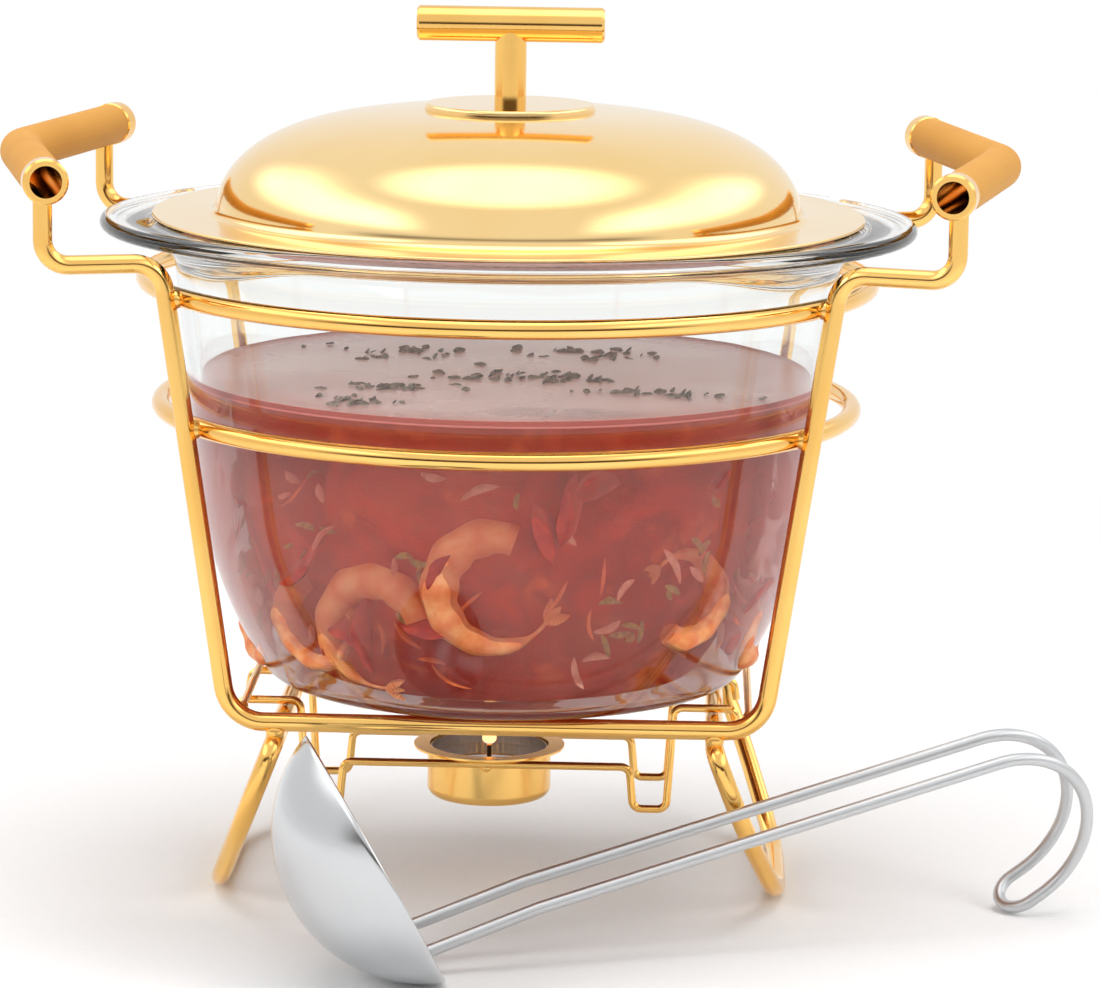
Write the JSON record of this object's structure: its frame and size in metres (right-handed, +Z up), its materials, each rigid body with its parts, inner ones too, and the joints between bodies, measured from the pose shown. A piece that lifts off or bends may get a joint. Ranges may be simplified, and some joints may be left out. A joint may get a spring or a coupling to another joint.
{
  "type": "soup tureen with warmer",
  "caption": "Round glass soup tureen with a domed gold lid on a gold wire stand with a candle warmer, and a steel ladle",
  "frame": {"origin": "on the glass bowl's axis, at the level of the table the stand rests on", "axes": "+Z up along the bowl's axis, +X from the left grip to the right grip, +Y from the front frame to the rear frame; the front faces -Y"},
  "size_m": [0.356, 0.2921, 0.2864],
  "materials": {
    "gold_wire": "polished gold plating on steel wire",
    "gold_lid": "polished gold sheet",
    "gold_cup": "gold sheet with a soft shine",
    "grip_ochre": "matte ochre sleeve",
    "clear_glass": "clear pressed glass",
    "tin_foil": "thin drawn tin",
    "candle_wax": "dark molten wax",
    "wick_cotton": "burnt cotton wick",
    "steel_satin": "satin stainless steel"
  },
  "bodies": {
    "stand": {"front_frame_wire": "gold_wire", "rear_frame_wire": "gold_wire", "upper_hoop": "gold_wire", "lower_hoop": "gold_wire", "left_foot_loop": "gold_wire", "right_foot_loop": "gold_wire", "left_bowl_rail": "gold_wire", "right_bowl_rail": "gold_wire", "hoop_weld_beads": "gold_wire", "foot_weld_beads": "gold_wire", "rail_weld_beads": "gold_wire", "left_grip_tube": "gold_wire", "right_grip_tube": "gold_wire", "left_grip_sleeve": "grip_ochre", "right_grip_sleeve": "grip_ochre", "left_front_grip_collar": "gold_wire", "left_rear_grip_collar": "gold_wire", "right_front_grip_collar": "gold_wire", "right_rear_grip_collar": "gold_wire"},
    "bowl": {"glass_bowl": "clear_glass"},
    "lid": {"lid_shell": "gold_lid", "lid_crown_plate": "gold_lid", "lid_handle_post": "gold_wire", "lid_handle_bar": "gold_wire", "lid_handle_screw": "steel_satin", "lid_handle_washer": "steel_satin"},
    "candle_holder": {"candle_cup": "gold_cup", "front_cradle_wire": "gold_wire", "rear_cradle_wire": "gold_wire", "cradle_weld_beads": "gold_wire"},
    "tealight": {"tealight_tin": "tin_foil", "tealight_wax": "candle_wax", "tealight_wick": "wick_cotton", "wick_sustainer": "tin_foil"},
    "ladle": {"ladle_bowl": "steel_satin", "ladle_handle_wire": "steel_satin", "ladle_weld_beads": "steel_satin"}
  },
  "joints": [
    {"name": "bowl_lift", "type": "slide", "parent": "stand", "child": "bowl", "axis": [0, 0, 1], "range_m": [0, 0.16]},
    {"name": "lid_lift", "type": "slide", "parent": "bowl", "child": "lid", "axis": [0, 0, 1], "range_m": [0, 0.06]},
    {"name": "holder_slide", "type": "slide", "parent": "stand", "child": "candle_holder", "axis": [0, 1, 0], "range_m": [-0.015, 0.025]},
    {"name": "tealight_lift", "type": "slide", "parent": "candle_holder", "child": "tealight", "axis": [0, 0, 1], "range_m": [0, 0.014]},
    {"name": "ladle_slide", "type": "slide", "parent": "stand", "child": "ladle", "axis": [0, -1, 0], "range_m": [0, 0.12]}
  ]
}
